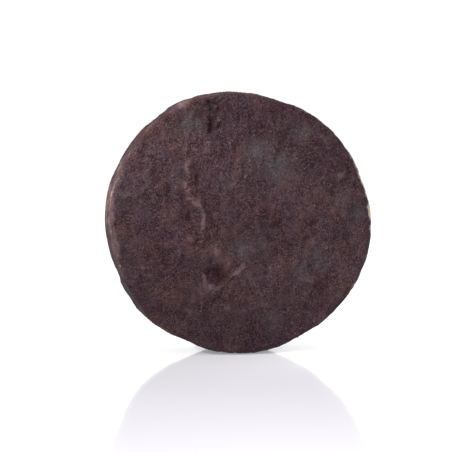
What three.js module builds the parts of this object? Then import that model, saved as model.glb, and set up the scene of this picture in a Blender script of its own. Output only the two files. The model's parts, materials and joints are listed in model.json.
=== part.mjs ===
// A whole wheel of pressed and aged cheese with a dark, rubbed rind, standing on its rim.
//
// Millimetres, +Z up. The wheel's axis lies along Y: its front face looks towards -Y and
// its back face towards +Y. The origin is under the middle of the wheel, on the surface
// that it stands on.
import * as THREE from "three";

// Driving dimensions.
const DIAMETER = 260; // across the rim, averaged over all directions
const THICKNESS = 70; // between the two pressed faces
const SHOULDER = 7; // radius of the rounded edge between a face and the rim
const RIM_BULGE = 1.5; // how far the middle of the rim stands out past its two edges
const FOOT_LENGTH = 50; // length along X, at mid-rim, of the flat that the wheel has settled onto

// A wheel that was pressed in a cloth is never quite round. Each wave adds this height in
// millimetres at its crests, which are evenly spaced from the angle "crestAt", in degrees
// from +X towards +Z.
const OUTLINE_WAVES = [
  { crests: 2, height: 0.9, crestAt: -15 },
  { crests: 3, height: 1.0, crestAt: 4 },
  { crests: 5, height: 0.4, crestAt: -20 },
  { crests: 6, height: 0.65, crestAt: -16 },
  { crests: 7, height: 0.35, crestAt: 10 },
  { crests: 8, height: 0.4, crestAt: -1 },
];

// How finely the solid is cut into flat facets. Around the rim it is a length and not a count,
// so that the facets of a larger wheel are no coarser and its foot keeps its length.
// The steps along each curve of the profile are an even number, so that one lands at mid-rim.
const FACET_LENGTH = 5;
const STEPS_PER_CURVE = 4;

// Distance from the wheel's axis out to its rim in the direction "angle", in radians.
function outlineRadius(angle) {
  return OUTLINE_WAVES.reduce((radius, wave) => {
    const fromCrest = angle - THREE.MathUtils.degToRad(wave.crestAt);
    return radius + wave.height * Math.cos(wave.crests * fromCrest);
  }, DIAMETER / 2);
}

// Half of a slice through the wheel: x is the distance from the axis and y runs along it.
// It starts at the middle of the front face, rounds the shoulder, follows the bulging rim,
// rounds the other shoulder and ends at the middle of the back face.
function wheelProfile() {
  const half = THICKNESS / 2;
  const rimEdge = DIAMETER / 2 - RIM_BULGE;
  const faceEdge = rimEdge - SHOULDER;
  const quarterTurn = Math.PI / 2;
  return new THREE.Path()
    .moveTo(0, -half)
    .lineTo(faceEdge, -half)
    .absarc(faceEdge, SHOULDER - half, SHOULDER, -quarterTurn, 0)
    .quadraticCurveTo(rimEdge + 2 * RIM_BULGE, 0, rimEdge, half - SHOULDER)
    .absarc(faceEdge, half - SHOULDER, SHOULDER, 0, quarterTurn)
    .lineTo(0, half)
    .getPoints(STEPS_PER_CURVE);
}

// How far the foot lies below the wheel's axis: where the outline reaches down to at the
// ends of the foot, taking the end where it reaches less far. The foot's ends fall on the
// solid's own facets, so each may be up to a facet short.
function footBelowAxis() {
  const turnToEnd = Math.asin(FOOT_LENGTH / DIAMETER);
  const straightDown = -Math.PI / 2;
  const reach = (turn) => outlineRadius(straightDown + turn) * Math.cos(turn);
  return Math.min(reach(-turnToEnd), reach(turnToEnd));
}

// Pushes the round body out to its uneven outline, and presses everything below the foot
// up into one flat.
function settle(geometry) {
  const lowest = -footBelowAxis();
  const position = geometry.getAttribute("position");
  for (let i = 0; i < position.count; i++) {
    const x = position.getX(i);
    const z = position.getZ(i);
    const stretch = outlineRadius(Math.atan2(z, x)) / (DIAMETER / 2);
    position.setX(i, x * stretch);
    position.setZ(i, Math.max(z * stretch, lowest));
  }
}

// Moves the body so that the origin is under the middle of its box.
function standOnOrigin(geometry) {
  geometry.computeBoundingBox();
  const { min, max } = geometry.boundingBox;
  geometry.translate(-(min.x + max.x) / 2, -(min.y + max.y) / 2, -min.z);
}

function cheeseWheel() {
  const stepsAround = Math.ceil((Math.PI * DIAMETER) / FACET_LENGTH);
  const geometry = new THREE.LatheGeometry(wheelProfile(), stepsAround);
  settle(geometry);
  standOnOrigin(geometry);
  geometry.computeVertexNormals();
  const rind = new THREE.MeshStandardMaterial({ color: 0x46363a, roughness: 0.8, metalness: 0 });
  const wheel = new THREE.Mesh(geometry, rind);
  wheel.name = "cheese_wheel";
  return wheel;
}

const part = new THREE.Group();
part.add(cheeseWheel());

export default part;
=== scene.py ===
# %% [markdown]
# # A wheel of cheese with a rubbed rind
#
# A whole wheel, pressed in a cloth and then aged, stands on its rim. Its rind was rubbed
# with something dark and gritty, such as ground coffee or grape skins, so it looks nearly
# black from afar, and wine brown and crumbly from near. This lesson builds its outer
# surface as one closed mesh, gives it a procedural rind, scatters the rub's coarsest crumbs
# over it, and lights it in a white studio.
#
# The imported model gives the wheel's place, thickness and uneven outline. Only the surface's
# fine relief is worked out here.

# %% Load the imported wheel
import json
import math

import bmesh
import bpy
import numpy as np
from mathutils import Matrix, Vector


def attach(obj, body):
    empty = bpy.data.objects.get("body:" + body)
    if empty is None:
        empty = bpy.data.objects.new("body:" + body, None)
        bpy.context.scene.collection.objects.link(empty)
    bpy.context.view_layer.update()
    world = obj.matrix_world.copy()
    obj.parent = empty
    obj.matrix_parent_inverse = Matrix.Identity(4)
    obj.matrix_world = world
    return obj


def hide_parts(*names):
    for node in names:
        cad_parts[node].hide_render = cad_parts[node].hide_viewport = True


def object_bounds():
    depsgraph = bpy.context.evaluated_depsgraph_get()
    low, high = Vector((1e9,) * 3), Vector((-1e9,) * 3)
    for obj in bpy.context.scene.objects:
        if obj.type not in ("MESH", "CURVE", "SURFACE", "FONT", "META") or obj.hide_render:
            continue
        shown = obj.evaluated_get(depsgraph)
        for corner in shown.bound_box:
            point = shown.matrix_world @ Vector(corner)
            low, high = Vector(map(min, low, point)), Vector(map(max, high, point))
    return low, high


MM = 0.001

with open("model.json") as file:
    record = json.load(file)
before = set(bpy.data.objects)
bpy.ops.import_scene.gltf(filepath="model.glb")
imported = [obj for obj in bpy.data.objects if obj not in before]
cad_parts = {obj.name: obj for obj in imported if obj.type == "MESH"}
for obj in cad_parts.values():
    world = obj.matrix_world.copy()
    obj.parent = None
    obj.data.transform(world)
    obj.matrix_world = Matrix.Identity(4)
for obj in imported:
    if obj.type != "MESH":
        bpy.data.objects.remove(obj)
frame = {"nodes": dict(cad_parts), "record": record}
cad_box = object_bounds()
print("packed box, mm:", [[round(v / MM, 2) for v in corner] for corner in cad_box])

# %% [markdown]
# ## The outline
#
# A pressed wheel is never quite round, and this one has settled onto a short flat. Its
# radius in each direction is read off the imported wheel's own points at mid-rim. Those on the
# flat are left out, so the outline runs on below the surface there, and the mesh is cut off
# level with it later, as the real rim was pressed flat by its own weight.

# %% Read the outline
mounts = {mount["name"]: mount for mount in frame["record"]["mounts"]}
axis_x, _, axis_z = mounts["front_face"]["pos_m"]
half_thickness = mounts["back_face"]["pos_m"][1]

packed = frame["nodes"]["cheese_wheel"].data.vertices
points = np.empty(len(packed) * 3)
packed.foreach_get("co", points)
points = points.reshape(-1, 3)

NEARLY_NOTHING = 0.01 * MM
at_mid_rim = (np.abs(points[:, 1]) < NEARLY_NOTHING) & (points[:, 2] > NEARLY_NOTHING)
rim_x, rim_z = points[at_mid_rim, 0] - axis_x, points[at_mid_rim, 2] - axis_z
rim_turn, first = np.unique(np.arctan2(rim_z, rim_x).round(6), return_index=True)
rim_radius = np.hypot(rim_x, rim_z)[first]
mean_radius = rim_radius.mean()


def outline(turn):
    """The rim's radius in the direction of turn, in radians from +X towards +Z."""
    return np.interp(turn, rim_turn, rim_radius, period=2 * math.pi)


print("outline read in", len(rim_turn), "directions")
print("mean radius, mm:", round(mean_radius / MM, 2))

# %% [markdown]
# ## The plain surface
#
# A disc made as a fan of triangles has needle-thin faces at its middle and wide ones at its
# edge, and a relief looks coarse on it. So each face of the wheel starts as a square grid
# that is bent into a disc, where every cell keeps nearly the same size. The disc is then
# wrapped over the rounded shoulder, and a band of quads joins the two discs along the rim.

# %% Set the shoulder and the rim
SHOULDER = 7 * MM  # radius of the rounded edge
RIM_BULGE = 1.5 * MM  # how far mid-rim stands out past the rim's two edges

rim_edge = mean_radius - RIM_BULGE
face_edge = rim_edge - SHOULDER
half_band = half_thickness - SHOULDER
face_reach = face_edge + SHOULDER * math.pi / 2  # along the surface, from middle to rim
print("flat face's radius, mm:", round(face_edge / MM, 2))
print("rim's width between the shoulders, mm:", round(2 * half_band / MM, 2))


# %% Define the disc and the slice through the shoulder
def square_to_disc(a, b):
    """Bends a square from -1 to 1 into a disc of radius 1. Each square ring becomes a circle:
    the larger of the two coordinates is the radius, and their ratio is an eighth of a turn."""
    wide = np.abs(a) > np.abs(b)
    radius = np.where(wide, a, b)
    ratio = np.where(wide, b, a) / np.where(radius == 0, 1, radius)
    turn = np.where(wide, ratio, 2 - ratio) * math.pi / 4
    return radius * np.cos(turn), radius * np.sin(turn)


def half_slice(reach):
    """Radius and depth behind the front face, and the outward normal along both, at a
    distance "reach" along the surface from the middle of the face. Up to the face's edge
    the slice is straight. Past it, it follows a quarter of a circle."""
    bend = np.clip((reach - face_edge) / SHOULDER, 0, math.pi / 2)
    radius = np.minimum(reach, face_edge) + SHOULDER * np.sin(bend)
    depth = SHOULDER * (1 - np.cos(bend))
    return radius, depth, np.sin(bend), np.cos(bend)


# %% Set out a face and its shoulder
GRID = 172  # cells along each side of a face's square grid
steps = np.linspace(-1, 1, GRID + 1)
disc_a, disc_b = square_to_disc(*np.meshgrid(steps, steps))
disc_a, disc_b = disc_a.ravel(), disc_b.ravel()
disc_turn = np.arctan2(disc_b, disc_a)
disc_reach = np.hypot(disc_a, disc_b) * face_reach
disc_radius, disc_depth, disc_out, disc_front = half_slice(disc_reach)
print("points on each face and its shoulder:", len(disc_a))

# %% Set out the band between the shoulders
RIM_ROWS = 38  # rows of quads across the rim
number = np.arange((GRID + 1) ** 2).reshape(GRID + 1, GRID + 1)
edge = np.concatenate([number[0, :-1], number[:-1, -1], number[-1, :0:-1], number[:0:-1, 0]])
across = np.linspace(-half_band, half_band, RIM_ROWS + 1)[1:-1]
band_y, band_turn = np.meshgrid(across, disc_turn[edge], indexing="ij")
band_y, band_turn = band_y.ravel(), band_turn.ravel()
band_radius = rim_edge + RIM_BULGE * (1 - (band_y / half_band) ** 2)
slope = 2 * RIM_BULGE * band_y / half_band**2  # how fast the rim falls away from its middle
band_out = 1 / np.hypot(1, slope)
print("points on the band:", len(band_turn))

# %% Bring the faces and the band together
turn = np.concatenate([disc_turn, disc_turn, band_turn])
radius = np.concatenate([disc_radius, disc_radius, band_radius])
depth = disc_depth - half_thickness
along = np.concatenate([depth, -depth, band_y])
normal_out = np.concatenate([disc_out, disc_out, band_out])
normal_along = np.concatenate([-disc_front, disc_front, slope * band_out])

radius = radius * outline(turn) / mean_radius
plain = np.stack([radius * np.cos(turn), along, radius * np.sin(turn)], axis=1)
normal = np.stack([normal_out * np.cos(turn), normal_along, normal_out * np.sin(turn)], axis=1)
print("surface points:", len(plain))

# %% [markdown]
# ## Ripples
#
# A rind has soft unevenness at several sizes at once: the whole face sags a little, the curd
# left lumps a thumb wide, and the rub left pebbles a few millimetres wide. Adding up many
# waves that run in random directions, all of about one length, gives such a field. It has
# no grid in it, which a noise built on a lattice of cells can show.


# %% Define the ripples
def ripples(places, length, seed, waves=40):
    """A random field that is mostly between -1 and 1. It is a sum of cosine waves with random
    directions and starting points. Their lengths lie within a quarter of "length"."""
    rng = np.random.default_rng(seed)
    direction = rng.normal(size=(waves, 3))
    direction /= np.linalg.norm(direction, axis=1, keepdims=True)
    turns_per_metre = 2 * math.pi / (length * rng.uniform(0.75, 1.25, (waves, 1)))
    start = rng.uniform(0, 2 * math.pi, waves)
    return np.cos(places @ (direction * turns_per_metre).T + start).sum(axis=1) / math.sqrt(waves)


sample = ripples(plain, 27 * MM, 2)
print("share of a field between -1 and 1:", round((np.abs(sample) < 1).mean(), 2))

# %% [markdown]
# ## Folds, creases and dents
#
# The cloth that the curd was pressed in leaves a few folds in each face, and the cheese
# picks up dents on the shelf. Each one here is a route across the face in millimetres, to
# the right of the wheel's axis and above it, with a width and a height. A height below 0 is
# a crease or a dent. Real folds are never drawn with a ruler, so a ripple makes each route
# wander by a millimetre or two, and another makes it fade and swell along its length.


# %% Define how a mark fades with distance
def bell(distance, width):
    """1 where the distance is 0, 0.37 where it is "width", and 0 well past that: e to the
    power of minus the square of distance over width."""
    return np.exp(-((distance / width) ** 2))


def near_route(places, route, width):
    """The bell of the distance to the nearest of the route's straight stretches. Both the
    route and the width are in millimetres."""
    nearest = np.full(len(places), np.inf)
    for start, end in zip(route[:-1], route[1:]):
        start, stretch = np.array(start) * MM, (np.array(end) - np.array(start)) * MM
        share = np.clip((places - start) @ stretch / (stretch @ stretch), 0, 1)
        beside = places - start - share[:, None] * stretch
        nearest = np.minimum(nearest, np.linalg.norm(beside, axis=1))
    return bell(nearest, width * MM)


def near_turn(angles, degrees, width):
    """The bell of the angle between each direction and the one at "degrees" from +X towards
    +Z. The width is in degrees too."""
    between = np.angle(np.exp(1j * (angles - math.radians(degrees))))
    return bell(between, math.radians(width))


# %% List the marks on the front face
FRONT_MARKS = [
    # the long fold left of the middle, and the crease along its inner side
    ([(-51, 61), (-55, 38), (-51, 24), (-39, 14), (-38, -2), (-41, -18)], 2.6, 0.88),
    ([(-44, 52), (-45, 36), (-40, 28), (-31, 14), (-30, 2)], 2.4, -0.96),
    ([(-31, -23), (-28, -27)], 5.0, 0.80),
    # the hollow below it, with its raised lip
    ([(-34, -45), (-18, -53)], 6.0, -1.00),
    ([(-37, -50), (-35, -61), (-24, -64), (-13, -52), (1, -43)], 2.4, 1.04),
    # the crease that comes down from the top, with two small rings beside it
    ([(-34, 118), (-33, 104), (-30, 93), (-31, 85)], 2.2, -1.60),
    ([(-31, 115), (-26, 115), (-24, 110), (-27, 107), (-32, 108)], 1.5, -1.20),
    ([(-30, 101), (-25, 101), (-23, 95), (-25, 90), (-30, 90)], 1.6, -1.20),
    # a string of small dents right of the middle
    ([(6, -3), (10, -6)], 2.4, -0.72),
    ([(25, -15), (29, -17)], 2.8, -0.96),
    ([(42, -18), (48, -17)], 2.6, -0.96),
    ([(61, -17), (65, -14)], 2.6, -0.96),
    ([(66, -2), (70, 1)], 2.4, -0.80),
    ([(-54, 6), (-53, 9)], 2.2, -0.88),
    ([(48, 78), (55, 76)], 2.0, -0.80),
    ([(76, 90), (84, 86)], 2.0, -0.72),
]
print("marks listed for the front:", len(FRONT_MARKS))

# %% List the marks on the back face
BACK_MARKS = [
    # folds that run in from the edge, where the cloth was gathered over the curd
    ([(70, 96), (52, 70), (44, 42), (28, 24)], 2.6, 0.75),
    ([(64, 98), (46, 71), (37, 42), (22, 26)], 2.2, -0.90),
    ([(-98, 60), (-74, 50), (-58, 30)], 2.4, -0.90),
    ([(-52, -90), (-40, -66), (-44, -44)], 2.4, 0.75),
    ([(-46, -92), (-34, -66), (-38, -42)], 2.0, -0.75),
    ([(88, -42), (66, -40), (50, -52)], 2.2, -0.83),
    # dents of several sizes
    ([(8, -34), (20, -40)], 6.5, -1.05),
    ([(-20, 70), (-18, 72)], 3.0, -0.83),
    ([(-8, 12), (-4, 10)], 2.6, -0.75),
    ([(30, -8), (33, -6)], 2.6, -0.75),
    ([(-70, -14), (-66, -16)], 2.8, -0.75),
    ([(14, 92), (20, 90)], 2.4, -0.75),
]
print("marks listed for the back:", len(BACK_MARKS))

# %% Place the marks on the two faces
face_places = plain[:, [0, 2]]
wander = np.zeros_like(face_places)
for length, seeds, size in ((17, (11, 12), 1.4), (6, (13, 14), 0.5)):
    sideways_and_up = [ripples(plain, length * MM, seed) for seed in seeds]
    wander += np.stack(sideways_and_up, axis=1) * size * MM
FAINTEST, STRONGEST = 0.4, 1.4  # how far a mark fades and swells, as a share of its height
fading = np.clip(0.9 + 0.3 * ripples(plain, 15 * MM, 15), FAINTEST, STRONGEST)

on_front = np.clip(-normal[:, 1], 0, 1)
on_back = np.clip(normal[:, 1], 0, 1)
on_face = on_front + on_back
on_rim = 1 - on_face
marks = np.zeros(len(plain))
for share, face_marks in ((on_front, FRONT_MARKS), (on_back, BACK_MARKS)):
    for route, width, height in face_marks:
        marks += share * fading * height * near_route(face_places + wander, route, width)
print("marks placed, mm: lowest", round(marks.min(), 2), "highest", round(marks.max(), 2))

# %% [markdown]
# ## The rim's own marks
#
# The rim was pressed against the mould's wall, so it carries short pleats that run across it
# and the long shallow line of the cloth's overlap, with a crease beside it. Here and there
# it also swells, or has been knocked flat, by a millimetre or so. Pleats, swells and knocks
# are placed by their turn around the axis.

# %% Pleat the rim
RIM_PLEATS = 17
PLEAT_REACH, PLEAT_WIDTH = 17 * MM, 1.8 * MM
# evenly spaced at first, then each is moved, leant, raised or sunk, and shifted by chance
rng = np.random.default_rng(31)
pleat_turn = np.linspace(-math.pi, math.pi, RIM_PLEATS, endpoint=False)
pleat_turn += rng.uniform(-0.12, 0.12, RIM_PLEATS)
pleat_lean = rng.uniform(-0.35, 0.35, RIM_PLEATS)
pleat_height = rng.uniform(-0.45, 0.25, RIM_PLEATS)
pleat_middle = rng.uniform(-14, 14, RIM_PLEATS) * MM
for turned, lean, height, middle in zip(pleat_turn, pleat_lean, pleat_height, pleat_middle):
    around = np.angle(np.exp(1j * (turn - turned))) * mean_radius
    beside = around - lean * (along - middle)
    reach = bell(along - middle, PLEAT_REACH)
    marks += on_rim * height * reach * bell(beside, PLEAT_WIDTH)
print("pleats on the rim:", RIM_PLEATS)

# %% Add the cloth's overlap
OVERLAP_BEHIND = 9 * MM  # how far behind mid-rim its line runs
OVERLAP_WINDING = 3 * MM  # how far the line winds to either side, twice around the wheel
CREASE_BEFORE = 4 * MM  # how far the crease runs in front of the line
overlap = along - OVERLAP_BEHIND - OVERLAP_WINDING * np.sin(2 * turn + 1)
marks += on_rim * (0.35 * bell(overlap, 2.2 * MM))
marks -= on_rim * (0.40 * bell(overlap + CREASE_BEFORE, 1.8 * MM))
print("points within the overlap's line:", int((on_rim * bell(overlap, 2.2 * MM) > 0.37).sum()))

# %% Swell the rim and knock it flat
# degrees from +X towards +Z, how many degrees wide, and how far the rim stands out, in mm
RIM_SWELLS = [
    (117, 4, 1.7), (90, 9, 0.3), (76, 6, -0.6), (41, 9, -1.5), (-16, 6, 1.0), (-38, 5, 1.0),
    (-52, 5, 0.9), (-68, 6, 0.8), (142, 6, 0.8), (176, 8, 1.4), (-170, 8, 1.5),
]
for degrees, width, height in RIM_SWELLS:
    marks += normal_out * height * near_turn(turn, degrees, width)
print("swells and knocks:", len(RIM_SWELLS))

# %% [markdown]
# ## Fine wrinkles
#
# As the wheel dries and shrinks, its rind wrinkles. A wrinkle is a thin, winding line, and
# the places where a random field passes through zero make just such lines. They are kept
# only in some patches, so that parts of the rind stay smooth.

# %% Wrinkle the rind
WRINKLE_WIDTH = 0.22  # how far from zero the field may be, out of about 1
WRINKLE_DEPTH = 0.5  # mm
PATCH = 52 * MM  # how wide a patch of wrinkles is
wrinkles = np.zeros(len(plain))
for length, seed in ((46, 21), (30, 23), (20, 25)):
    line = bell(ripples(plain, length * MM, seed), WRINKLE_WIDTH)
    wrinkles -= line * np.clip(0.2 + ripples(plain, PATCH, seed + 1), 0, 1) * WRINKLE_DEPTH
print("wrinkled share of the surface:", round((wrinkles < -0.15).mean(), 2))

# %% [markdown]
# ## The relief
#
# The marks, the wrinkles and four sizes of ripple are added up, in millimetres. It is pushed
# inwards only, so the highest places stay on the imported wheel's surface and the wheel keeps
# its size. What would reach below the surface that it stands on is levelled off.

# %% Press in the relief
HEADROOM = 1.4  # how far below the plain surface the middle of the relief lies, in mm
sag = 0.45 * ripples(plain, 95 * MM, 1)
lumps = 0.60 * ripples(plain, 27 * MM, 2)
smoother = 1 - 0.5 * normal_out  # the mould's wall pressed the rim smoother than the faces
curd = 0.34 * smoother * ripples(plain, 11 * MM, 3)
pebbles = 0.20 * smoother * ripples(plain, 4.8 * MM, 4)
relief = marks + wrinkles + sag + lumps + curd + pebbles
inwards = np.clip(HEADROOM - relief, 0, None) * MM

surface = plain - normal * inwards[:, None] + (axis_x, 0, axis_z)
surface[:, 2] = np.maximum(surface[:, 2], 0)
print("relief, mm: mean", round(inwards.mean() / MM, 2), "deepest", round(inwards.max() / MM, 2))

# %% [markdown]
# ## One closed mesh
#
# The front disc's quads run anticlockwise as seen from the front, so they face out. The back
# disc's run the other way. The rim's quads join the two discs' edges, row by row.

# %% List the faces
disc_points = len(disc_a)
around = len(edge)
quads = np.stack([number[:-1, :-1], number[:-1, 1:], number[1:, 1:], number[1:, :-1]], axis=-1)
quads = quads.reshape(-1, 4)

inner_rows = 2 * disc_points + np.arange((RIM_ROWS - 1) * around).reshape(-1, around)
rows = np.concatenate([edge[None], inner_rows, edge[None] + disc_points])
ahead = np.roll(rows, -1, axis=1)
rim_quads = np.stack([rows[:-1], rows[1:], ahead[1:], ahead[:-1]], axis=-1).reshape(-1, 4)
faces = np.concatenate([quads, quads[:, ::-1] + disc_points, rim_quads])
print("quads: on each face", len(quads), "and on the rim", len(rim_quads))

# %% Make the mesh
rind_mesh = bpy.data.meshes.new("wheel_rind")
rind_mesh.from_pydata(surface.tolist(), [], faces.tolist())
rind_mesh.polygons.foreach_set("use_smooth", np.ones(len(faces), bool))
rind_mesh.update()
wheel = bpy.data.objects.new("wheel_rind", rind_mesh)
bpy.context.scene.collection.objects.link(wheel)
print("triangles:", 2 * len(faces), "of 200000 allowed")

# %% [markdown]
# ## A flat layout
#
# The surface is laid out flat as it would be peeled: two discs, and the rim cut into two
# strips. The strips are as wide as the discs' scale makes them, but drawn out by about a
# third to fill the layout's width, so a pattern baked onto them is no less sharp.

# %% Lay the two faces out
MARGIN = 0.01
FRONT_CENTRE, BACK_CENTRE = (0.25, 0.75), (0.75, 0.75)
disc_size = 0.5 - 2 * MARGIN
per_metre = disc_size / (2 * face_reach)
flat_disc = np.stack([disc_a, disc_b], axis=1) * disc_size / 2
front_layout = flat_disc[quads] + FRONT_CENTRE
back_layout = flat_disc[quads[:, ::-1]] * (-1, 1) + BACK_CENTRE
print("layout units per metre:", round(per_metre, 3))

# %% Lay the rim out
UPPER_STRIP, STRIPS_APART = 0.35, 0.2  # the upper strip's lower edge, and the step down
per_strip = around // 2
column = np.arange(around)
strip = column // per_strip
left = MARGIN + (column % per_strip) * (1 - 2 * MARGIN) / per_strip
right = left + (1 - 2 * MARGIN) / per_strip
row_height = 2 * half_band * per_metre / RIM_ROWS
low = UPPER_STRIP - STRIPS_APART * strip + np.arange(RIM_ROWS)[:, None] * row_height
left, right = np.broadcast_to(left, low.shape), np.broadcast_to(right, low.shape)
high = low + row_height
rim_layout = np.stack([[left, left, right, right], [low, high, high, low]], axis=-1)
rim_layout = rim_layout.transpose(1, 2, 0, 3).reshape(-1, 4, 2)

layout = rind_mesh.uv_layers.new(name="OFBake")
corners = np.concatenate([front_layout, back_layout, rim_layout])
layout.data.foreach_set("uv", corners.astype(np.float32).ravel())
print("layout spans", corners.min(axis=(0, 1)).round(3), "to", corners.max(axis=(0, 1)).round(3))

# %% [markdown]
# ## Where the rind is worn, bloomed and shaded
#
# Four things colour a rubbed rind unevenly. Handling wears the rub off the shoulders, where
# tan rind shows, and the pale wear along the right edge and on the left of the rim is partly
# a painted highlight. A grey bloom of mould settles in soft patches. The hollows are painted
# darker, partly as rub kept there and partly as painted shade. A few listed places are painted
# darker too, and so is the upper left shoulder, as painted shade. Folds are painted lighter,
# partly as rub lost from them and partly as a painted highlight. Each is a number from 0 to 1
# at every point of the mesh.

# %% List the worn, bloomed and darker places
# degrees from +X towards +Z, how many degrees wide, and how strong the wear is there
# the strong wear from 28 to -3 degrees, along the right edge, is partly a painted highlight
WORN_AND_HIGHLIT_SHOULDERS = [
    (118, 5, 0.46), (104, 7, 0.30), (88, 14, 0.24), (72, 8, 0.18), (61, 4, 0.46),
    (28, 6, 0.80), (17, 11, 1.02), (6, 6, 1.02), (-3, 4, 0.58), (-28, 5, 0.66), (-48, 6, 0.25),
    (158, 6, 0.24), (-158, 6, 0.25), (-132, 9, 0.20),
]
# millimetres along X and above the axis, how wide, and how strong the bloom is there
FRONT_BLOOM = [
    (-52, 96, 12, 1.0), (14, 71, 13, 0.9), (34, 53, 15, 1.0), (-18, 38, 9, 0.6),
    (57, 89, 10, 0.7), (99, 22, 12, 0.6), (115, 10, 8, 1.0), (75, -34, 14, 0.6),
    (57, -47, 10, 0.7), (28, -93, 15, 0.6), (-2, -24, 11, 0.7), (-66, 44, 10, 0.4),
    (20, -20, 9, 0.5),
]
BACK_BLOOM = [
    (-60, 72, 14, 0.9), (-22, 84, 11, 0.6), (42, 74, 13, 0.8), (84, 20, 12, 0.7),
    (30, 8, 13, 0.6), (-34, -6, 15, 0.8), (-88, -22, 12, 0.6), (-14, -74, 15, 0.9),
    (62, -66, 13, 0.7),
]
# the places painted darker, in the same way
FRONT_DARKER = [
    (24, 0, 20, 1.4), (2, -2, 28, 1.2), (60, -8, 15, 0.6), (-28, -52, 14, 0.8),
    (-30, 100, 9, 0.8), (-5, -98, 26, 1.0), (40, -74, 14, 0.5), (10, 104, 14, 0.4),
    (88, 48, 12, 0.5),
]
BACK_DARKER = [
    (-20, 20, 22, 0.8), (48, -18, 16, 0.7), (-72, 20, 14, 0.6), (10, -52, 18, 0.7),
    (70, 60, 14, 0.6),
]
print("worn places:", len(WORN_AND_HIGHLIT_SHOULDERS), "blooms:", len(FRONT_BLOOM + BACK_BLOOM))

# %% Wear the shoulders and the rim, partly as painted highlight
BACK_TURN = 2.1  # the back shoulder's worn places lie a third of a turn further round
BACK_STRENGTH = 0.55
WORN_WIDTH, RAGGED = 3.5, 0.6  # of a shoulder's worn band, and how much its edge varies, in mm
FADE_OUT = 8 * MM  # how far onto the rim a shoulder's wear reaches
WORN_AND_LIT_PATCH = (170, 20)  # a worn patch, partly painted highlight: where and how wide, in degrees

wear_and_highlight = np.zeros(len(plain))
for degrees, width, strength in WORN_AND_HIGHLIT_SHOULDERS:
    place = turn - BACK_TURN * (along > 0)
    wear_and_highlight = np.maximum(wear_and_highlight, strength * near_turn(place, degrees, width))
ragged = ripples(plain, 9 * MM, 16)
wear_and_highlight *= np.clip(0.95 + 0.2 * ragged, 0, 1.15) * np.where(along > 0, BACK_STRENGTH, 1)
from_rim = rim_edge * outline(turn) / mean_radius - np.hypot(*face_places.T)
past_band = np.clip((np.abs(along) - half_band) / FADE_OUT + 1, 0, 1)
shoulder_share = bell(from_rim, (WORN_WIDTH + RAGGED * ragged) * MM) * past_band**2
patchy = np.clip(0.5 + 0.7 * ripples(plain, 24 * MM, 5), 0, 1)
wear_and_highlight = shoulder_share * np.maximum(wear_and_highlight, 0.30 * patchy)

# the worn patch on the rim, partly a painted highlight, is palest towards the front, and the
# rest is worn here and there
rim_wear_and_highlight = (0.33 - 0.10 * along / half_band) * near_turn(turn, *WORN_AND_LIT_PATCH)
rim_wear_and_highlight += 0.04 + 0.10 * ripples(plain, 34 * MM, 6) + 0.07 * ragged
wear_and_highlight = np.maximum(wear_and_highlight, on_rim * np.clip(rim_wear_and_highlight, 0, 1))
wear_and_highlight += on_face * 0.05 * (np.hypot(*face_places.T) / face_edge) ** 2
print("strongest wear, before it is limited to 1:", round(wear_and_highlight.max(), 2))


# %% Settle the bloom, paint shade into the hollows and lighten the ridges
def spots(places, centres):
    """Soft round spots: the bell of the distance from each centre. The strongest wins."""
    found = np.zeros(len(places))
    for right_of, above, width, strength in centres:
        distance = np.hypot(places[:, 0] - right_of * MM, places[:, 1] - above * MM)
        found = np.maximum(found, strength * bell(distance, width * MM))
    return found


SHADED_SHOULDER = (137, 17)  # painted shade on the upper left shoulder: where and how wide, in degrees
bloom = on_front * spots(face_places, FRONT_BLOOM) + on_back * spots(face_places, BACK_BLOOM)
bloom += on_rim * 0.7 * np.clip(ripples(plain, 40 * MM, 7) - 0.5, 0, 1)
darker_spots = on_front * spots(face_places, FRONT_DARKER) + on_back * spots(face_places, BACK_DARKER)
# darker: the hollows, partly rub kept there and partly painted shade, the listed places, and
# painted shade on the upper left shoulder
sunk = -(on_face * marks + 0.7 * wrinkles + pebbles + 0.5 * curd) / 1.3
# the upper left shoulder, which faces the key light, is painted darker as shade
painted_shade_on_shoulder = np.clip(1.4 * normal_out, 0, 1) * near_turn(turn, *SHADED_SHOULDER)
rub_and_painted_shade = np.clip(0.3 * darker_spots + 0.8 * painted_shade_on_shoulder + np.clip(sunk, 0, 1), 0, 1)
# lighter: the folds and lumps, partly rub lost from them and partly a painted highlight
ridge_wear_and_highlight = np.clip((on_face * marks + 0.3 * lumps + 0.4 * curd + 0.4 * pebbles) / 0.8, 0, 1)
print("deepest hollow:", round(rub_and_painted_shade.max(), 2), "highest ridge:", round(ridge_wear_and_highlight.max(), 2))

# %% Carry them on the mesh
painted = {"wear_and_highlight": wear_and_highlight, "bloom": bloom, "rub_and_painted_shade": rub_and_painted_shade, "ridge_wear_and_highlight": ridge_wear_and_highlight}
for name, amount in painted.items():
    amount = np.clip(amount, 0, 1).astype(np.float32)
    rind_mesh.attributes.new(name, "FLOAT", "POINT").data.foreach_set("value", amount)
    print(name, "covers", round(100 * (amount > 0.2).mean(), 1), "% of the surface")

# %% [markdown]
# ## The rubbed rind
#
# A washed curd rind rubbed with dark grounds: matt, gritty and faintly oily. The eye reads it
# as wine brown with pale and dark crumbs about a millimetre and a half wide, over slower
# shifts from red-brown to grey. One flat brown would look like plastic, so the colours are
# layered from the base up, each with a mask of its own.


# %% Define how colours and nodes are added
def linear(hex_colour):
    """An sRGB hex colour, as a shader's linear red, green, blue and alpha. Dark values are
    divided by 12.92, and the others follow the sRGB curve's power of 2.4."""
    values = [int(hex_colour[i : i + 2], 16) / 255 for i in (0, 2, 4)]
    return [v / 12.92 if v <= 0.04045 else ((v + 0.055) / 1.055) ** 2.4 for v in values] + [1]


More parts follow.
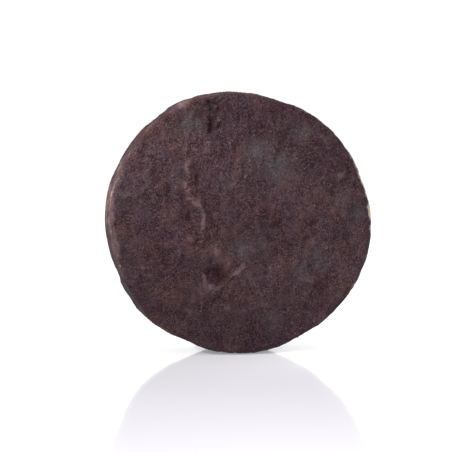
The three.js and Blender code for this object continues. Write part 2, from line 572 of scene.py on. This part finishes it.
def add(tree, kind, links=None, **settings):
    """Adds one node. "settings" are its own properties. "links" maps a socket, by name or by
    number, to a value or to another node's output."""
    made = tree.nodes.new("ShaderNode" + kind)
    for name, value in settings.items():
        setattr(made, name, value)
    for socket, value in (links or {}).items():
        if isinstance(value, bpy.types.NodeSocket):
            tree.links.new(value, made.inputs[socket])
        else:
            made.inputs[socket].default_value = value
    return made


# %% Make the rind's finish
GRIT = 1.4 * MM  # width of the crumbs in the rub
SPECK = 0.8 * MM  # the finest crumbs, drawn a little coarse so that they still show
PIT = 2.6 * MM  # between the small pits that the curd left


def rubbed_rind():
    """The rub's colours, laid one over another by noise and by what the mesh carries. Each
    noise's scale is 1 over the real width of what it draws."""
    material = bpy.data.materials.new("rubbed_cheese_rind")
    material.use_nodes = True
    tree = material.node_tree
    shader = tree.nodes["Principled BSDF"]
    place = add(tree, "TexCoord").outputs["Object"]

    noises = {}
    for name, size, detail in (
        ("drift", 42 * MM, 3.0), ("blotch", 15 * MM, 4.0), ("grey", 23 * MM, 4.0),
        ("clump", 5.5 * MM, 3.0), ("grit", GRIT, 3.0), ("speck", SPECK, 2.0),
    ):
        noise = add(tree, "TexNoise", {"Vector": place, "Scale": 1 / size, "Detail": detail})
        noises[name] = noise.outputs[0]
    pitted = add(tree, "TexVoronoi", {"Vector": place, "Scale": 1 / PIT})
    pits = pitted.outputs["Distance"]
    carried = {
        name: add(tree, "Attribute", attribute_name=name).outputs["Fac"]
        for name in ("wear_and_highlight", "bloom", "rub_and_painted_shade", "ridge_wear_and_highlight", "tone")
    }
    # the grit breaks up the worn places and the ridges' painted highlight, dark grains crowd into
    # patches, and where a clump meets a coarse crumb a tan fleck shows
    worn_and_highlit, highlit_ridges, flecks, crowd, height = [
        add(tree, "Math", {0: one, 1: other}, operation="ADD").outputs[0]
        for one, other in (
            (carried["wear_and_highlight"], noises["grit"]), (carried["ridge_wear_and_highlight"], noises["grit"]),
            (noises["clump"], noises["speck"]), (noises["blotch"], noises["clump"]),
            (noises["grit"], noises["speck"]),
        )
    ]
    crowded = {0: crowd, 1: 0.55, 2: noises["grit"]}
    grains = add(tree, "Math", crowded, operation="MULTIPLY_ADD").outputs[0]

    # each layer's colour, what places it, where that starts and is full, and its strength
    layers = [
        # slow shifts to dark wine, red-brown and slate, and ridges a little paler, partly rubbed
        # and partly a painted highlight
        ("291820", noises["drift"], 0.46, 0.60, 0.7),
        ("422c29", noises["grey"], 0.50, 0.36, 0.5),
        ("2c2329", noises["grey"], 0.54, 0.66, 0.5),
        ("5c494d", highlit_ridges, 0.80, 1.40, 0.6),
        # dark clumps, nearly black grains and the pits
        ("1d0e11", noises["clump"], 0.47, 0.30, 0.5),
        ("150709", grains, 1.02, 1.24, 0.82),
        ("140608", pits, 0.36, 0.10, 0.35),
        # the bloom, a plain grey that looks blue beside the brown
        ("343235", carried["bloom"], 0.10, 0.90, 0.65),
        # pale crumbs, paler specks and tan flecks
        ("564448", noises["grit"], 0.50, 0.34, 0.35),
        ("635056", noises["speck"], 0.58, 0.74, 0.3),
        ("78665b", flecks, 1.20, 1.36, 0.45),
        # painted shade with some kept rub in the hollows, painted shade on the upper left
        # shoulder, and the listed darker places
        ("100405", carried["rub_and_painted_shade"], 0.00, 1.00, 0.6),
        # worn places, from stained brown through dusty grey to bare tan rind; along the right
        # edge and on the left of the rim they are partly a painted highlight
        ("5e4840", worn_and_highlit, 0.74, 0.94, 0.5),
        ("8a7a78", worn_and_highlit, 0.90, 1.10, 0.8),
        ("bda186", worn_and_highlit, 1.16, 1.50, 0.80),
        # the scattered crumbs only: nearly black ones and a few dusty ones
        ("120709", carried["tone"], 0.30, 0.90, 0.45),
        ("6b585d", carried["tone"], 0.95, 1.00, 0.4),
    ]
    colour = linear("32252a")
    for hex_colour, source, start, full, strength in layers:
        reach = {"Value": source, "From Min": start, "From Max": full, "To Max": strength}
        mask = add(tree, "MapRange", reach).outputs[0]
        # a colour mix's sockets are picked by number: 0 is the mask, 6 and 7 the colours
        mixed = add(tree, "Mix", {0: mask, 6: colour, 7: linear(hex_colour)}, data_type="RGBA")
        colour = mixed.outputs[2]
    tree.links.new(colour, shader.inputs["Base Color"])

    # crumbs too small to model stand up by half a millimetre, and some are oilier than others
    raised = add(tree, "Math", {0: height, 1: pits}, operation="ADD").outputs[0]
    bump = add(tree, "Bump", {"Height": raised, "Strength": 0.7, "Distance": 0.5 * MM})
    tree.links.new(bump.outputs["Normal"], shader.inputs["Normal"])
    rough = add(tree, "MapRange", {"Value": noises["grit"], "To Min": 0.85, "To Max": 0.62})
    tree.links.new(rough.outputs[0], shader.inputs["Roughness"])
    # fat's IOR is about 1.46, but grit shades itself, so it hardly shines and has little sheen
    shader.inputs["IOR"].default_value = 1.46
    shader.inputs["Specular IOR Level"].default_value = 0.06
    shader.inputs["Sheen Weight"].default_value = 0.03
    shader.inputs["Sheen Roughness"].default_value = 0.45
    shader.inputs["Sheen Tint"].default_value = linear("d8cfd0")
    return material


rind_mesh.materials.append(rubbed_rind())
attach(wheel, "root")
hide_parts("cheese_wheel")
print("finish:", rind_mesh.materials[0].name)

# %% [markdown]
# ## Crumbs of the rub
#
# The coarsest crumbs stand proud of the rind. They catch the light along the shoulders and
# roughen the outline, which a pattern in the finish can't do. Each is a 20-sided lump that is
# squashed, pulled out of round, turned at random and pressed halfway in. They are scattered
# more thickly in some patches than in others, and none lies under the foot.

# %% Choose where the crumbs lie
CRUMBS = 9000
FOOT_CLEARANCE = 3 * MM
LEAST_DEPTH = 0.5 * MM  # how far below the plain surface a crumb's seat must be

rng = np.random.default_rng(47)
rind_normals = np.empty(len(surface) * 3, np.float32)
rind_mesh.vertex_normals.foreach_get("vector", rind_normals)
rind_normals = rind_normals.reshape(-1, 3)

room = (inwards > LEAST_DEPTH) & (surface[:, 2] > FOOT_CLEARANCE)
thickly = np.clip(0.55 + 0.5 * ripples(plain, 19 * MM, 8), 0.08, 1.5)
chance = room * thickly * (1 - 0.6 * normal_out)  # the rim was pressed smoother
seats = rng.choice(len(surface), CRUMBS, replace=False, p=chance / chance.sum())

upward = rind_normals[seats]
lengthways = rng.normal(size=(CRUMBS, 3))
lengthways -= (lengthways * upward).sum(axis=1, keepdims=True) * upward
lengthways /= np.linalg.norm(lengthways, axis=1, keepdims=True)
sideways = np.cross(upward, lengthways)
print("points with room for a crumb:", round(100 * room.mean(), 1), "%")

# %% Shape the crumbs
FINEST, COARSEST = 0.45 * MM, 1.15 * MM  # half the width of a crumb
SHIFT = 0.6  # how far a crumb may lie to each side of its seat, in mm

lump = bmesh.new()
bmesh.ops.create_icosphere(lump, subdivisions=1, radius=1)
lump_points = np.array([point.co for point in lump.verts])
lump_faces = np.array([[point.index for point in face.verts] for face in lump.faces])
lump.free()

# most are fine and a few are coarse, each narrower than it is long and lower than wide
size = FINEST + (COARSEST - FINEST) * rng.power(0.45, (CRUMBS, 1, 1))
narrowed, lowered = rng.uniform(0.6, 1, CRUMBS), rng.uniform(0.35, 0.6, CRUMBS)
squash = np.stack([np.ones(CRUMBS), narrowed, lowered], axis=1)
uneven = rng.uniform(0.72, 1.18, (CRUMBS, len(lump_points), 1))
shape = lump_points * uneven * squash[:, None] * size
shape[:, :, :2] += rng.uniform(-SHIFT, SHIFT, (CRUMBS, 1, 2)) * MM
axes = np.stack([lengthways, sideways, upward], axis=1)
crumb_points = (surface[seats][:, None] + shape @ axes).reshape(-1, 3)
crumb_points = np.clip(crumb_points, *np.array(cad_box))
print("crumbs' half widths, mm:", round(size.min() / MM, 2), "to", round(size.max() / MM, 2))

# %% Make the crumbs' mesh
first_point = np.arange(CRUMBS)[:, None, None] * len(lump_points)
crumb_faces = (lump_faces + first_point).reshape(-1, 3)
crumb_mesh = bpy.data.meshes.new("rub_crumbs")
crumb_mesh.from_pydata(crumb_points.tolist(), [], crumb_faces.tolist())
crumbs = bpy.data.objects.new("rub_crumbs", crumb_mesh)
bpy.context.scene.collection.objects.link(crumbs)
print("crumbs:", CRUMBS, "triangles:", len(crumb_faces), "of 200000 allowed")

# %% [markdown]
# ## The crumbs' layout and finish
#
# Every crumb has a square cell of its own in the flat layout, with its upper side in the left
# half and its sunken side in the right half. The crumbs are the same rub as the rind, so they
# share its finish and carry its numbers from where they lie. One number more, the tone,
# makes some crumbs nearly black and a few dusty.

# %% Lay out the crumbs
HALF_LUMP = (0.21, 0.42)  # half of each side's width and height in its cell
UPPER_CENTRE, TO_UNDERSIDE = (0.25, 0.5), (0.5, 0)
cells = math.ceil(math.sqrt(CRUMBS))
cell = np.stack([np.arange(CRUMBS) % cells, np.arange(CRUMBS) // cells], axis=1)
underside = lump_points[lump_faces][:, :, 2].mean(axis=1) < 0
in_cell = lump_points[lump_faces][:, :, :2] * HALF_LUMP + UPPER_CENTRE
in_cell[underside] += TO_UNDERSIDE
crumb_corners = (in_cell + cell[:, None, None]) / cells
crumb_layout = crumb_mesh.uv_layers.new(name="OFBake")
crumb_layout.data.foreach_set("uv", crumb_corners.astype(np.float32).ravel())
print("crumbs laid out in", cells, "by", cells, "cells")

# %% Finish the crumbs
for name, amount in (painted | {"tone": rng.random(len(surface))}).items():
    carried = np.repeat(np.clip(amount[seats], 0, 1), len(lump_points)).astype(np.float32)
    crumb_mesh.attributes.new(name, "FLOAT", "POINT").data.foreach_set("value", carried)
crumb_mesh.materials.append(rind_mesh.materials[0])
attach(crumbs, "root")
print("numbers carried by each crumb:", len(painted) + 1)

# %% [markdown]
# ## The white studio
#
# The wheel stands on a sheet of white acrylic that is lit from below, as on a light table,
# against a white cove. Such a sheet shows hardly any shadow, but it is glossy enough to give
# the wheel a pale mirror image, which grounds it. A narrow light from the upper left grazes
# the face and brings out its folds. A weak one behind draws a thin line on the right, one
# fills the shaded side, and one hangs over the floor in front, so the mirror image fades
# as it comes nearer.


# %% Make the floor
def acrylic():
    """White sheet acrylic: a clear, nearly smooth surface over a pale body that glows. Its
    IOR is 1.49, and the glow stands for the lamps below the sheet."""
    material = bpy.data.materials.new("white_acrylic")
    material.use_nodes = True
    shader = material.node_tree.nodes["Principled BSDF"]
    shader.inputs["Base Color"].default_value = linear("d0cfd5")
    shader.inputs["Roughness"].default_value = 0.08
    shader.inputs["IOR"].default_value = 1.49
    shader.inputs["Emission Color"].default_value = linear("fcfbff")
    shader.inputs["Emission Strength"].default_value = 0.27
    return material


HALF_FLOOR = 12  # metres, so that its edge is never in sight
corner_signs = ((-1, -1), (1, -1), (1, 1), (-1, 1))
floor_corners = [(x * HALF_FLOOR, y * HALF_FLOOR, 0) for x, y in corner_signs]
floor_mesh = bpy.data.meshes.new("studio_floor")
floor_mesh.from_pydata(floor_corners, [], [(0, 1, 2, 3)])
floor_mesh.materials.append(acrylic())
floor = bpy.data.objects.new("studio_floor", floor_mesh)
bpy.context.scene.collection.objects.link(floor)
print("floor, metres:", 2 * HALF_FLOOR, "by", 2 * HALF_FLOOR)

# %% Place the lights
aim = Vector((axis_x, 0, axis_z))
# the key is a small, faintly warm spotlight, so narrow that it lights little of the floor
key = bpy.data.lights.new("key", "SPOT")
key.energy, key.shadow_soft_size = 188, 0.12
key.color = (1, 0.99, 0.96)
key.spot_size, key.spot_blend = math.radians(17), 0.8
lights = [(key, (-0.95, -0.50, 0.68), aim + Vector((-0.01, 0, 0.04)))]

# each soft light's name, place, target, size in metres and power in watts
in_front = (-0.10, -0.60)
for name, place, target, size, power in (
    ("rim", (0.9, 0.35, 0.5), aim, 0.5, 6),
    ("fill", (1.0, -1.1, 0.25), aim, 0.8, 6),
    ("floor_light", (*in_front, 0.36), Vector((*in_front, 0)), 0.2, 0.9),
):
    softbox = bpy.data.lights.new(name, "AREA")
    softbox.size, softbox.energy = size, power
    lights.append((softbox, place, target))

for light, place, target in lights:
    lamp = bpy.data.objects.new(light.name, light)
    lamp.location = place
    lamp.rotation_euler = (target - lamp.location).to_track_quat("-Z", "Y").to_euler()
    bpy.context.scene.collection.objects.link(lamp)
print("lights:", [light.name for light, _, _ in lights])

# %% Surround it all with white
world = bpy.data.worlds.new("white_cove")
world.use_nodes = True
world.node_tree.nodes["Background"].inputs["Color"].default_value = (1, 1, 1, 1)
world.node_tree.nodes["Background"].inputs["Strength"].default_value = 1.02
bpy.context.scene.world = world
bpy.context.scene.view_settings.view_transform = "Standard"
print("surround:", world.name)

# %% [markdown]
# ## The camera
#
# A portrait lens a metre away, a little left of the wheel and looking slightly down, as one
# looks at a wheel on a shop's counter. The aim lies a little left of the axis and below it,
# which leaves room in the frame for the mirror image.

# %% Place the camera
PORTRAIT_LENS = 85  # focal length, mm
DISTANCE = 1.057
LEFT_OF_AXIS = math.radians(10)
LOOK_DOWN = math.radians(2.5)
away = Vector((-math.sin(LEFT_OF_AXIS), -math.cos(LEFT_OF_AXIS), 0)) * math.cos(LOOK_DOWN)
away.z = math.sin(LOOK_DOWN)
camera_aim = aim + Vector((-0.011, 0, -0.004))

camera_data = bpy.data.cameras.new("camera")
camera_data.lens = PORTRAIT_LENS
camera = bpy.data.objects.new("camera", camera_data)
camera.location = camera_aim + away * DISTANCE
camera.rotation_euler = (-away).to_track_quat("-Z", "Y").to_euler()
bpy.context.scene.collection.objects.link(camera)
bpy.context.scene.camera = camera
print("camera at", [round(v, 3) for v in camera.location])
